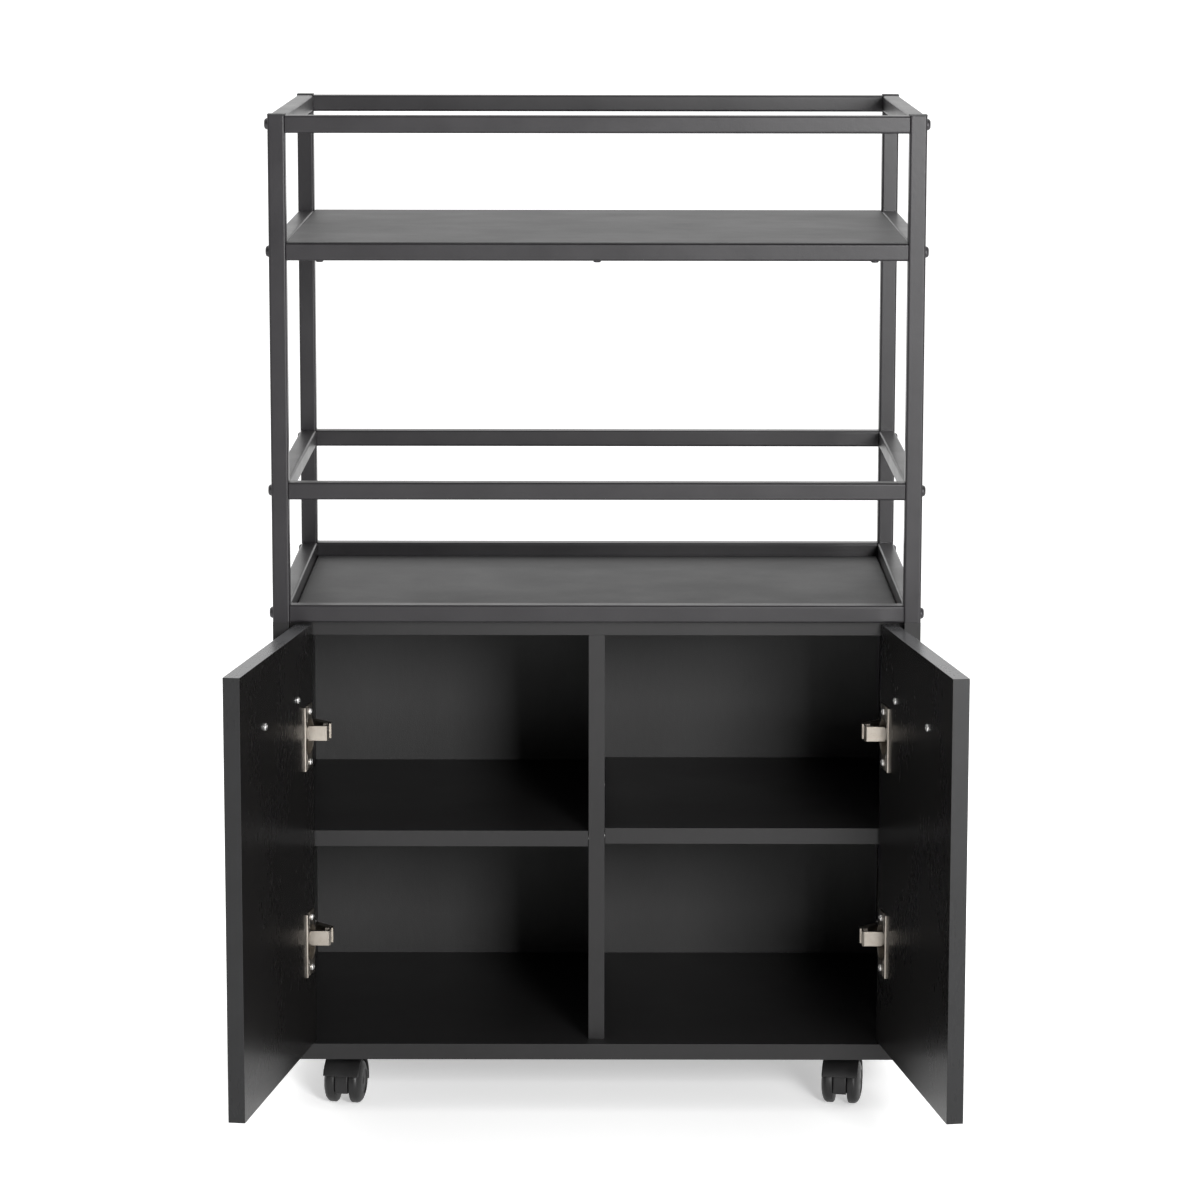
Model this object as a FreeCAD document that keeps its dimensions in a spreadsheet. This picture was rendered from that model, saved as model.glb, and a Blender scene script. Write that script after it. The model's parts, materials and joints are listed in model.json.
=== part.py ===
import FreeCAD, Part
import math
import os
import re
import Sketcher

from FreeCAD import Placement, Rotation, Vector

doc = FreeCAD.newDocument("kitchen_island_cart")
sheet = doc.addObject("Spreadsheet::Sheet", "dims")

# Driving dimensions, in millimetres and degrees.
DIMENSIONS = {
    # frame of square tube
    "width": 600.0,
    "depth": 400.0,
    "tube": 16.0,
    "tube_wall": 1.2,
    "tube_corner": 2.0,
    "top_level": 936.0,
    "shelf_level": 821.0,
    "guard_level": 599.5,
    "tray_level": 485.0,
    "plug_length": 12.0,
    "cap_height": 1.2,
    "cap_insert": 3.5,
    # M6 button-head bolts that hold the cross rails
    "bolt_radius": 3.0,
    "bolt_head_radius": 5.3,
    "bolt_head_height": 3.2,
    "bolt_reach": 10.0,
    "bolt_clearance": 0.2,
    # sheet steel shelf, its screws, and the tray
    "sheet_metal": 1.0,
    "sheet_gap": 0.5,
    "flange_height": 11.0,
    "shelf_screw_spread": 254.0,
    "shelf_screw_radius": 2.0,
    "shelf_screw_length": 17.5,
    "screw_boss_radius": 3.0,
    "screw_boss_height": 2.5,
    "pan_head_radius": 3.5,
    "pan_head_height": 1.8,
    "tray_drop": 13.0,
    "tray_gap": 1.5,
    # cabinet boards
    "board": 15.0,
    "caster_height": 51.5,
    "set_back": 18.7,
    "back_front": 352.0,
    "back_thick": 5.0,
    "groove": 5.0,
    "groove_slack": 0.2,
    "inner_shelf_top": 267.7,
    "inner_shelf_gap": 0.5,
    "right_shelf_rise": 2.6,
    "shelf_pin_radius": 2.5,
    "shelf_pin_depth": 6.5,
    "shelf_pin_reach": 8.0,
    "shelf_pin_inset": 50.0,
    # cam locks, divider screws, and the studs between frame and cabinet
    "cam_radius": 7.4,
    "cam_depth": 12.0,
    "cam_inset": 24.0,
    "cam_front": 110.0,
    "cam_back": 300.0,
    "cam_bolt_radius": 3.0,
    "cam_bolt_grip": 10.0,
    "divider_screw_radius": 2.5,
    "divider_screw_length": 42.0,
    "divider_head_radius": 4.0,
    "divider_head_height": 3.0,
    "divider_screw_inset": 90.0,
    "stud_radius": 3.0,
    "stud_depth": 22.0,
    "stud_inset": 80.0,
    # doors
    "door_gap": 2.0,
    "door_foot_gap": 0.5,
    "door_head_gap": 3.5,
    "door_open": 99.1,
    "door_edge_radius": 1.0,
    # concealed hinges: hinge_in and hinge_back place the pin behind the cabinet's front edge
    "hinge_in": 10.5,
    "hinge_back": 5.8,
    "hinge_drop": 102.5,
    "hinge_rise": 100.0,
    "cup_edge": 3.0,
    "cup_radius": 17.4,
    "cup_wall": 0.7,
    "cup_depth": 12.1,
    "cup_flange": 1.2,
    "cup_lip": 1.1,
    "wing_length": 60.0,
    "wing_width": 20.0,
    "cup_screw_spread": 24.0,
    "cup_screw_length": 10.0,
    "pin_radius": 1.0,
    "pin_half_length": 8.4,
    "ear_inner": 6.4,
    "ear_outer": 8.0,
    "knuckle_radius": 1.9,
    "arm_half_height": 6.9,
    "nose_half_height": 5.5,
    "arm_steel": 1.2,
    "plate_thick": 2.5,
    "plate_length": 16.0,
    "plate_height": 50.0,
    "plate_front": 46.0,
    "plate_block": 5.4,
    "small_screw_radius": 1.7,
    "small_screw_length": 12.0,
    # bar handles
    "handle_centres": 128.0,
    "handle_length": 140.0,
    "handle_height": 12.0,
    "handle_bar": 7.0,
    "handle_proud": 19.0,
    "handle_drop": 60.5,
    "handle_from_hinge": 127.0,
    "handle_post_radius": 5.0,
    "handle_screw_radius": 2.0,
    "handle_screw_bite": 8.0,
    # twin-wheel casters
    "caster_inset_side": 64.0,
    "caster_inset_end": 50.0,
    "caster_trail": 13.0,
    "caster_turn": -10.0,
    "wheel_radius": 21.0,
    "wheel_inner": 6.6,
    "wheel_outer": 18.2,
    "axle_radius": 2.5,
    "axle_half_length": 16.7,
    "web_half": 6.1,
    "web_foot": 12.4,
    "web_radius": 20.8,
    "hood_gap": 1.2,
    "hood_thick": 2.0,
    "hood_half_width": 17.2,
    "hood_front": 3.0,
    "hood_brow": 9.0,
    "caster_plate": 42.0,
    "caster_plate_thick": 2.5,
    "caster_screw_spread": 16.0,
    "swivel_radius": 3.5,
    "swivel_length": 21.0,
    "swivel_gap": 0.4,
    # radial clearance of every running or slip fit
    "fit": 0.05,
}


def open_door_reach(size):
    """How far the open doors' free edges stand in front of the cabinet."""
    leaf = size["width"] / 2 - size["board"] - 1.5 * size["door_gap"]
    turn = math.radians(size["door_open"])
    free_edge = leaf + size["door_gap"] - size["hinge_in"]
    inner_face = size["board"] - size["hinge_back"]
    return free_edge * math.sin(turn) - inner_face * math.cos(turn) - size["hinge_back"]


# The origin is on the floor, in the middle of the cart with its doors open.
DIMENSIONS["front_y"] = (open_door_reach(DIMENSIONS) - DIMENSIONS["depth"]) / 2

for row, (alias, value) in enumerate(DIMENSIONS.items(), start=1):
    sheet.set(f"A{row}", alias)
    sheet.set(f"B{row}", str(round(value, 4)))
    sheet.setAlias(f"B{row}", alias)
doc.recompute()

WORD = re.compile(r"[a-z_]+")
NODES = []
LEFT, RIGHT = -1, 1
SIDES = {"left": LEFT, "right": RIGHT}
HALF_X = "width / 2"
BACK_Y = "front_y + depth"
POST_X = "(width / 2 - tube / 2)"
ENDS = {"front": "(front_y + tube / 2)", "back": "(front_y + depth - tube / 2)"}
LEVELS = {"top": "top_level", "shelf": "shelf_level", "guard": "guard_level", "tray": "tray_level"}
CABINET_FOOT = "caster_height"
CABINET_TOP = "(tray_level - tube)"
INSIDE_X = "(width / 2 - board)"


# ---------------------------------------------------------------- building blocks

def bound(text):
    """An expression in the sheet's aliases, written as FreeCAD reads it."""
    return WORD.sub(lambda m: f"dims.{m.group()}" if m.group() in DIMENSIONS else m.group(), text)


def number(text):
    """What an expression in the sheet's aliases comes to."""
    return float(sheet.evalExpression(text))


def bind(thing, **sizes):
    for name, text in sizes.items():
        thing.setExpression(name, bound(text))
    return thing


def put(thing, at, rotation=None):
    """Place an object, with each coordinate bound to the sheet."""
    thing.Placement = Placement(Vector(0, 0, 0), rotation or Rotation())
    for axis, text in zip("xyz", at):
        thing.setExpression(f".Placement.Base.{axis}", bound(text))
    return thing


def make(kind, name):
    return doc.addObject(kind, name)


ORIGIN = ("0", "0", "0")
ALONG = {
    "x": Rotation(Vector(0, 1, 0), 90),
    "-x": Rotation(Vector(0, 1, 0), -90),
    "y": Rotation(Vector(1, 0, 0), -90),
    "-y": Rotation(Vector(1, 0, 0), 90),
    "z": Rotation(),
    "-z": Rotation(Vector(1, 0, 0), 180),
}


def box(name, size, at=ORIGIN):
    """A block with its lowest corner at a point."""
    block = bind(make("Part::Box", name), Length=size[0], Width=size[1], Height=size[2])
    return put(block, at)


def rod(name, radius, length, at=ORIGIN, along="z"):
    """A cylinder that starts at a point and runs along an axis."""
    bar = bind(make("Part::Cylinder", name), Radius=radius, Height=length)
    return put(bar, at, ALONG[along])


def join(name, pieces):
    fused = make("Part::MultiFuse", name)
    fused.Shapes = pieces
    return fused


def group(name, pieces):
    """Separate solids that share one node."""
    together = make("Part::Compound", name)
    together.Links = pieces
    return together


def cut(name, base, tools):
    result = make("Part::Cut", name)
    result.Base = base
    result.Tool = tools[0] if len(tools) == 1 else group(f"{name}_tools", tools)
    return result


def common(name, pieces):
    result = make("Part::MultiCommon", name)
    result.Shapes = pieces
    return result


def other_side(name, source):
    """The same piece, mirrored through the plane x = 0."""
    twin = make("Part::Mirroring", name)
    twin.Source = source
    twin.Base = Vector(0, 0, 0)
    twin.Normal = Vector(1, 0, 0)
    return twin


def node(label, thing, at=None, rotation=None):
    """Name a finished sub-part, and place it where the cart has it."""
    thing.Label = label
    if at is not None:
        put(thing, at, rotation)
    NODES.append(thing)
    return thing


def sketch_in(body, role, name):
    """A sketch on one of the body's own origin planes."""
    plane = next(feature for feature in body.Origin.OriginFeatures if feature.Role == role)
    sketch = body.newObject("Sketcher::SketchObject", name)
    sketch.AttachmentSupport = [(plane, "")]
    sketch.MapMode = "FlatFace"
    return sketch


def pin_down(sketch, kind, entities, text):
    """Add a dimension to a sketch and bind it to the sheet."""
    index = sketch.addConstraint(Sketcher.Constraint(kind, *entities, number(text)))
    sketch.setExpression(f"Constraints[{index}]", bound(text))


def polygon(sketch, corners):
    """A closed outline through corners given as pairs of expressions."""
    first = sketch.GeometryCount
    points = [Vector(number(x), number(y), 0) for x, y in corners]
    count = len(points)
    for i in range(count):
        sketch.addGeometry(Part.LineSegment(points[i], points[(i + 1) % count]), False)
    for i in range(count):
        nxt = first + (i + 1) % count
        sketch.addConstraint(Sketcher.Constraint("Coincident", first + i, 2, nxt, 1))
    for i, (x, y) in enumerate(corners, start=first):
        pin_down(sketch, "DistanceX", (-1, 1, i, 1), x)
        pin_down(sketch, "DistanceY", (-1, 1, i, 1), y)


def centred_square(sketch, half):
    low = f"-({half})"
    polygon(sketch, [(low, low), (half, low), (half, half), (low, half)])


def pad(body, name, sketch, length, midplane=False):
    feature = body.newObject("PartDesign::Pad", name)
    feature.Profile = sketch
    feature.Midplane = midplane
    return bind(feature, Length=length)


# ---------------------------------------------------------------- frame

def bar_body(name, length):
    """Square tube with rounded corners, along +Z from the middle of its end."""
    body = make("PartDesign::Body", name)
    outside = sketch_in(body, "XY_Plane", f"{name}_outside")
    centred_square(outside, "tube / 2")
    bar = pad(body, f"{name}_bar", outside, length)
    doc.recompute()
    corners = [f"Edge{i}" for i, edge in enumerate(bar.Shape.Edges, start=1)
               if abs(edge.tangentAt(edge.FirstParameter).z) > 0.9]
    rounded = body.newObject("PartDesign::Fillet", f"{name}_corners")
    rounded.Base = (bar, corners)
    bind(rounded, Radius="tube_corner")
    inside = sketch_in(body, "XY_Plane", f"{name}_inside")
    centred_square(inside, "tube / 2 - tube_wall")
    hollow = body.newObject("PartDesign::Pocket", f"{name}_hollow")
    hollow.Profile = inside
    hollow.Type = "ThroughAll"
    hollow.Midplane = True
    body.Tip = hollow
    return body


def post(label, x, y):
    body = bar_body(f"{label}_tube", f"top_level - {CABINET_TOP}")
    holes = []
    for level, top in LEVELS.items():
        height = f"{rail_centre(level)} - {CABINET_TOP}"
        holes.append(rod(f"{label}_{level}_hole", "bolt_radius + bolt_clearance", "tube + 2",
                         ("-tube / 2 - 1", "0", height), "x"))
    node(label, cut(f"{label}_cut", body, holes), (x, y, CABINET_TOP))


def rail_centre(level):
    """The shelf's cross rails are lower by the sheet that lies on them."""
    drop = "sheet_metal" if level == "shelf" else "0"
    return f"({LEVELS[level]} - {drop} - tube / 2)"


def side_rail(label, level, side):
    body = bar_body(f"{label}_tube", "depth - 2 * tube")
    centre = f"({LEVELS[level]} - tube / 2)"
    place = (f"{side} * {POST_X}", "front_y + tube", centre)
    if level != "tray":
        return node(label, body, place, ALONG["y"])
    # The studs into the cabinet pass through the lower wall, which faces local +Y.
    holes = [rod(f"{label}_stud_hole_{i}", "stud_radius + fit", "tube_wall + 2",
                 ("0", "tube / 2 - tube_wall - 1", f"{y} - tube"), "y")
             for i, y in enumerate(STUD_Y)]
    return node(label, cut(f"{label}_cut", body, holes), place, ALONG["y"])


STUD_Y = ("stud_inset", "(depth - stud_inset)")
SHELF_SCREW_X = ("-shelf_screw_spread", "0", "shelf_screw_spread")


def cross_rail(label, level, end):
    """A tube with a threaded plug welded into each end; the shelf's has screw holes too."""
    length = "(width - 2 * tube)"
    core = "(tube / 2 - tube_wall)"
    body = bar_body(f"{label}_tube", length)
    plugs = []
    for i, start in enumerate(("0", f"{length} - plug_length")):
        block = box(f"{label}_plug_block_{i}", (f"2 * {core}", f"2 * {core}", "plug_length"),
                    (f"-{core}", f"-{core}", start))
        thread = rod(f"{label}_thread_{i}", "bolt_radius + fit", "plug_length", ("0", "0", start))
        plugs.append(cut(f"{label}_plug_{i}", block, [thread]))
    rail = join(f"{label}_rail", [body] + plugs)
    if level == "shelf":
        holes = []
        for i, x in enumerate(SHELF_SCREW_X):
            along = f"{length} / 2 + {x}"
            holes.append(rod(f"{label}_screw_hole_{i}", "shelf_screw_radius + bolt_clearance",
                             "tube", ("tube / 2 + 1", "0", along), "-x"))
            holes.append(rod(f"{label}_boss_hole_{i}", "screw_boss_radius + 2 * bolt_clearance",
                             "tube_wall + 2", ("-tube / 2 - 1", "0", along), "x"))
        rail = cut(f"{label}_cut", rail, holes)
    node(label, rail, (f"-{length} / 2", ENDS[end], rail_centre(level)), ALONG["x"])


def post_caps():
    caps = []
    for end, y in ENDS.items():
        for side, sign in SIDES.items():
            name = f"cap_{end}_{side}"
            x = f"{sign} * {POST_X}"
            top = box(f"{name}_top", ("tube", "tube", "cap_height"),
                      (f"{x} - tube / 2", f"{y} - tube / 2", "top_level"))
            half = "(tube / 2 - tube_wall - fit)"
            insert = box(f"{name}_insert", (f"2 * {half}", f"2 * {half}", "cap_insert"),
                         (f"{x} - {half}", f"{y} - {half}", "top_level - cap_insert"))
            caps.append(join(name, [top, insert]))
    node("post_caps", group("post_caps_group", caps))


def frame_bolts():
    """Button-head bolts through the posts into the cross rails."""
    bolts = []
    for end, y in ENDS.items():
        for level in LEVELS:
            for side, sign in SIDES.items():
                name = f"bolt_{end}_{level}_{side}"
                inward = "x" if sign == LEFT else "-x"
                outward = "-x" if sign == LEFT else "x"
                at = (f"{sign} * {HALF_X}", y, rail_centre(level))
                shank = rod(f"{name}_shank", "bolt_radius", "tube + bolt_reach", at, inward)
                head = bind(make("Part::Cone", f"{name}_head"), Radius1="bolt_head_radius",
                            Radius2="bolt_head_radius * 0.62", Height="bolt_head_height")
                put(head, at, ALONG[outward])
                bolts.append(join(name, [shank, head]))
    node("frame_bolts", group("frame_bolts_group", bolts))


def shelf_panel():
    """Sheet steel over the front and back rails, with side flanges turned down."""
    half = "(width / 2 - tube - sheet_gap)"
    top = box("shelf_sheet", (f"2 * {half}", "depth", "sheet_metal"),
              (f"-{half}", "front_y", "shelf_level - sheet_metal"))
    pieces = [top]
    for side, x in {"left": f"-{half}", "right": f"{half} - sheet_metal"}.items():
        pieces.append(box(f"shelf_flange_{side}",
                          ("sheet_metal", "depth - 2 * tube - 2 * sheet_gap", "flange_height"),
                          (x, "front_y + tube + sheet_gap",
                           "shelf_level - sheet_metal - flange_height")))
    holes = []
    for end, y in ENDS.items():
        for i, x in enumerate(SHELF_SCREW_X):
            name = f"shelf_boss_{end}_{i}"
            foot = "shelf_level - sheet_metal - screw_boss_height"
            pieces.append(rod(name, "screw_boss_radius", "screw_boss_height", (x, y, foot)))
            holes.append(rod(f"{name}_thread", "shelf_screw_radius + fit", "screw_boss_height",
                             (x, y, foot)))
    node("shelf_panel", cut("shelf_panel_cut", join("shelf_panel_solid", pieces), holes))


def pan_screw(name, at, along, radius, length):
    """A pan-head screw whose head seats at a point and whose shank runs along an axis."""
    back = along[1:] if along.startswith("-") else f"-{along}"
    shank = rod(f"{name}_shank", radius, length, at, along)
    head = rod(f"{name}_head", "pan_head_radius", "pan_head_height", at, back)
    return join(name, [shank, head])


def shelf_screws():
    seat = "shelf_level - sheet_metal - tube"
    screws = [pan_screw(f"shelf_screw_{end}_{i}", (x, y, seat), "z", "shelf_screw_radius",
                        "shelf_screw_length - pan_head_height")
              for end, y in ENDS.items() for i, x in enumerate(SHELF_SCREW_X)]
    node("shelf_screws", group("shelf_screws_group", screws))


def tray_panel():
    """A shallow pan, open below, that lies on the cabinet inside the tray's rails."""
    half = "(width / 2 - tube - tray_gap)"
    deep = "(depth - 2 * tube - 2 * tray_gap)"
    height = "(tube - tray_drop)"
    front = "front_y + tube + tray_gap"
    pan = box("tray_pan", (f"2 * {half}", deep, height), (f"-{half}", front, CABINET_TOP))
    under = box("tray_hollow",
                (f"2 * {half} - 2 * sheet_metal", f"{deep} - 2 * sheet_metal",
                 f"{height} - sheet_metal"),
                (f"-{half} + sheet_metal", f"{front} + sheet_metal", CABINET_TOP))
    node("tray_panel", cut("tray_panel_cut", pan, [under]))


def frame():
    for end, y in ENDS.items():
        for side, sign in SIDES.items():
            post(f"post_{end}_{side}", f"{sign} * {POST_X}", y)
    for level in LEVELS:
        for side, sign in SIDES.items():
            side_rail(f"{level}_rail_{side}", level, sign)
        for end in ENDS:
            cross_rail(f"{level}_rail_{end}", level, end)
    post_caps()
    frame_bolts()
    shelf_panel()
    shelf_screws()
    tray_panel()


# ---------------------------------------------------------------- cabinet

CAM_Y = ("front_y + cam_front", "front_y + cam_back")
FLOOR_TOP = "(caster_height + board)"
CEILING = f"({CABINET_TOP} - board)"
HINGE_Z = {"top": f"({CABINET_TOP} - door_head_gap - hinge_drop)",
           "bottom": f"({FLOOR_TOP} + door_foot_gap + hinge_rise)"}
PIN_X = f"({INSIDE_X} - hinge_in)"
PIN_Y = "(front_y + hinge_back)"
SHELF_TOP = {"left": "inner_shelf_top", "right": "(inner_shelf_top + right_shelf_rise)"}
SHELF_PIN_Z = {side: f"({top} - board - shelf_pin_radius - fit)" for side, top in SHELF_TOP.items()}
SHELF_PIN_Y = ("front_y + set_back + shelf_pin_inset", "front_y + back_front - shelf_pin_inset")
PLATE_SCREW_Y = "(front_y + plate_front + plate_length / 2)"
BOARD_MID = {"bottom": f"({CABINET_FOOT} + board / 2)", "top": f"({CABINET_TOP} - board / 2)"}


def side_panel(side, sign):
    name = f"cabinet_side_{side}"
    low_x = f"-{HALF_X}" if sign == LEFT else INSIDE_X
    face_x = f"{sign} * {INSIDE_X}"
    outward = "-x" if sign == LEFT else "x"
    panel = box(f"{name}_board", ("board", "depth", f"{CABINET_TOP} - {CABINET_FOOT}"),
                (low_x, "front_y", CABINET_FOOT))
    groove_x = f"-{INSIDE_X} - groove" if sign == LEFT else INSIDE_X
    tools = [box(f"{name}_groove", ("groove", "back_thick + groove_slack",
                                    f"{CABINET_TOP} - {CABINET_FOOT}"),
                 (groove_x, "front_y + back_front", CABINET_FOOT))]
    for i, y in enumerate(STUD_Y):
        tools.append(rod(f"{name}_stud_hole_{i}", "stud_radius + fit", "stud_depth + 1",
                         (f"{sign} * {POST_X}", f"front_y + {y}", CABINET_TOP), "-z"))
    for i, y in enumerate(CAM_Y):
        for end, z in BOARD_MID.items():
            tools.append(rod(f"{name}_cam_hole_{end}_{i}", "cam_bolt_radius + fit",
                             "cam_bolt_grip + 0.5", (face_x, y, z), outward))
    for i, y in enumerate(SHELF_PIN_Y):
        tools.append(rod(f"{name}_pin_hole_{i}", "shelf_pin_radius + fit", "shelf_pin_depth + 0.5",
                         (face_x, y, SHELF_PIN_Z[side]), outward))
    for end, z in HINGE_Z.items():
        for i, dz in enumerate(("-16", "16")):
            tools.append(rod(f"{name}_plate_hole_{end}_{i}", "small_screw_radius + fit",
                             "small_screw_length", (face_x, PLATE_SCREW_Y, f"{z} + {dz}"), outward))
    node(name, cut(f"{name}_cut", panel, tools))


def cam_tools(name, end):
    """Pockets for the cams and bores for their bolts in a board between the sides."""
    tools = []
    mouth, into = (CABINET_FOOT, "z") if end == "bottom" else (CABINET_TOP, "-z")
    for side, sign in SIDES.items():
        for i, y in enumerate(CAM_Y):
            centre = f"{sign} * ({INSIDE_X} - cam_inset)"
            tag = f"{name}_{side}_{i}"
            outward = "-x" if sign == LEFT else "x"
            pocket = rod(f"{tag}_cam", "cam_radius + fit", "cam_depth + 0.5", (centre, y, mouth), into)
            bore = rod(f"{tag}_bore", "cam_bolt_radius + bolt_clearance", "cam_inset + 1",
                       (centre, y, BOARD_MID[end]), outward)
            tools.append(join(f"{tag}_holes", [pocket, bore]))
    return tools


def divider_screw_tools(name, mouth, into):
    tools = []
    for i, y in enumerate(DIVIDER_SCREW_Y):
        head = rod(f"{name}_screw_head_{i}", "divider_head_radius + fit", "divider_head_height",
                   ("0", y, mouth), into)
        shank = rod(f"{name}_screw_hole_{i}", "divider_screw_radius + fit", "board + 1",
                    ("0", y, mouth), into)
        tools.append(join(f"{name}_screw_{i}", [head, shank]))
    return tools


DIVIDER_SCREW_Y = ("front_y + set_back + divider_screw_inset",
                   "front_y + back_front - divider_screw_inset")


def cabinet_bottom():
    board = box("cabinet_bottom_board", (f"2 * {INSIDE_X}", "depth", "board"),
                (f"-{INSIDE_X}", "front_y", CABINET_FOOT))
    tools = [box("cabinet_bottom_groove", (f"2 * {INSIDE_X}", "back_thick + groove_slack", "groove"),
                 (f"-{INSIDE_X}", "front_y + back_front", f"{FLOOR_TOP} - groove"))]
    tools += cam_tools("cabinet_bottom", "bottom")
    tools += divider_screw_tools("cabinet_bottom", CABINET_FOOT, "z")
    for i, (x, y) in enumerate(caster_screw_points()):
        tools.append(rod(f"cabinet_bottom_caster_hole_{i}", "small_screw_radius + fit",
                         "small_screw_length", (x, y, CABINET_FOOT)))
    node("cabinet_bottom", cut("cabinet_bottom_cut", board, tools))


def cabinet_top():
    board = box("cabinet_top_board", (f"2 * {INSIDE_X}", "depth - set_back", "board"),
                (f"-{INSIDE_X}", "front_y + set_back", CEILING))
    tools = [box("cabinet_top_groove", (f"2 * {INSIDE_X}", "back_thick + groove_slack", "groove"),
                 (f"-{INSIDE_X}", "front_y + back_front", CEILING))]
    tools += cam_tools("cabinet_top", "top")
    tools += divider_screw_tools("cabinet_top", CABINET_TOP, "-z")
    node("cabinet_top", cut("cabinet_top_cut", board, tools))


def cabinet_back():
    play = "(groove - groove_slack)"
    node("cabinet_back", box("cabinet_back_board",
                             (f"2 * ({INSIDE_X} + {play})", "back_thick",
                              f"{CEILING} - {FLOOR_TOP} + 2 * {play}"),
                             (f"-{INSIDE_X} - {play}", "front_y + back_front + groove_slack / 2",
                              f"{FLOOR_TOP} - {play}")))


def cabinet_divider():
    board = box("cabinet_divider_board",
                ("board", "back_front - set_back", f"{CEILING} - {FLOOR_TOP}"),
                ("-board / 2", "front_y + set_back", FLOOR_TOP))
    tools = []
    depth = "divider_screw_length - board + 1"
    for i, y in enumerate(DIVIDER_SCREW_Y):
        tools.append(rod(f"divider_foot_hole_{i}", "divider_screw_radius + fit", depth,
                         ("0", y, FLOOR_TOP)))
        tools.append(rod(f"divider_head_hole_{i}", "divider_screw_radius + fit", depth,
                         ("0", y, CEILING), "-z"))
    for i, y in enumerate(SHELF_PIN_Y):
        for side, sign in SIDES.items():
            into = "x" if sign == LEFT else "-x"
            tools.append(rod(f"divider_pin_hole_{side}_{i}", "shelf_pin_radius + fit",
                             "shelf_pin_depth + 0.5", (f"{sign} * board / 2", y, SHELF_PIN_Z[side]),
                             into))
    node("cabinet_divider", cut("cabinet_divider_cut", board, tools))


def inner_shelf(side, sign):
    """A board on four pins, one side against the side panel and one against the divider."""
    span = f"({INSIDE_X} - board / 2 - 2 * inner_shelf_gap)"
    low_x = f"-{INSIDE_X} + inner_shelf_gap" if sign == LEFT else "board / 2 + inner_shelf_gap"
    node(f"inner_shelf_{side}",
         box(f"inner_shelf_{side}_board",
             (span, "back_front - set_back - 2 * inner_shelf_gap", "board"),
             (low_x, "front_y + set_back", f"{SHELF_TOP[side]} - board")))


def shelf_pins():
    """Pins pushed into the sides and the divider, which carry the inner shelves."""
    length = "shelf_pin_depth + shelf_pin_reach"
    pins = []
    for i, y in enumerate(SHELF_PIN_Y):
        for side, sign in SIDES.items():
            inward = "x" if sign == LEFT else "-x"
            outward = "-x" if sign == LEFT else "x"
            pins.append(rod(f"side_pin_{side}_{i}", "shelf_pin_radius", length,
                            (f"{sign} * ({INSIDE_X} + shelf_pin_depth)", y, SHELF_PIN_Z[side]),
                            inward))
            pins.append(rod(f"divider_pin_{side}_{i}", "shelf_pin_radius", length,
                            (f"{sign} * (board / 2 - shelf_pin_depth)", y, SHELF_PIN_Z[side]),
                            outward))
    node("shelf_pins", group("shelf_pins_group", pins))


def cam_fittings():
    """Cam locks in the top and bottom boards, and the bolts they pull on."""
    fittings = []
    for end, z in BOARD_MID.items():
        mouth, into = (CABINET_FOOT, "z") if end == "bottom" else (CABINET_TOP, "-z")
        for side, sign in SIDES.items():
            inward = "x" if sign == LEFT else "-x"
            outward = "-x" if sign == LEFT else "x"
            for i, y in enumerate(CAM_Y):
                name = f"cam_{end}_{side}_{i}"
                centre = f"{sign} * ({INSIDE_X} - cam_inset)"
                disc = rod(f"{name}_disc", "cam_radius", "cam_depth", (centre, y, mouth), into)
                slot = rod(f"{name}_slot", "cam_bolt_radius + bolt_clearance", "cam_inset",
                           (f"{centre} - {sign} * 2", y, z), outward)
                fittings.append(cut(name, disc, [slot]))
                fittings.append(rod(f"{name}_bolt", "cam_bolt_radius", "cam_bolt_grip + cam_inset",
                                    (f"{sign} * ({INSIDE_X} + cam_bolt_grip)", y, z), inward))
    node("cam_fittings", group("cam_fittings_group", fittings))


def cabinet_screws():
    """Countersunk screws into the divider, and the studs that locate the frame."""
    screws = []
    for i, y in enumerate(DIVIDER_SCREW_Y):
        for end, mouth, into in (("foot", CABINET_FOOT, "z"), ("head", CABINET_TOP, "-z")):
            name = f"divider_screw_{end}_{i}"
            head = rod(f"{name}_head", "divider_head_radius", "divider_head_height",
                       ("0", y, mouth), into)
            shank = rod(f"{name}_shank", "divider_screw_radius", "divider_screw_length",
                        ("0", y, mouth), into)
            screws.append(join(name, [head, shank]))
    for side, sign in SIDES.items():
        for i, y in enumerate(STUD_Y):
            screws.append(rod(f"frame_stud_{side}_{i}", "stud_radius",
                              "stud_depth + tube - tube_wall",
                              (f"{sign} * {POST_X}", f"front_y + {y}",
                               f"{CABINET_TOP} - stud_depth")))
    node("cabinet_screws", group("cabinet_screws_group", screws))


def cabinet():
    for side, sign in SIDES.items():
        side_panel(side, sign)
        inner_shelf(side, sign)
    cabinet_bottom()
    cabinet_top()
    cabinet_back()
    cabinet_divider()
    shelf_pins()
    cam_fittings()
    cabinet_screws()


# ---------------------------------------------------------------- hinges

def prism(name, corners, half_height):
    """An outline in the XY plane, made solid for half a height above and below it."""
    body = make("PartDesign::Body", name)
    outline = sketch_in(body, "XY_Plane", f"{name}_outline")
    polygon(outline, corners)
    pad(body, f"{name}_pad", outline, f"2 * ({half_height})", midplane=True)
    return body


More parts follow.
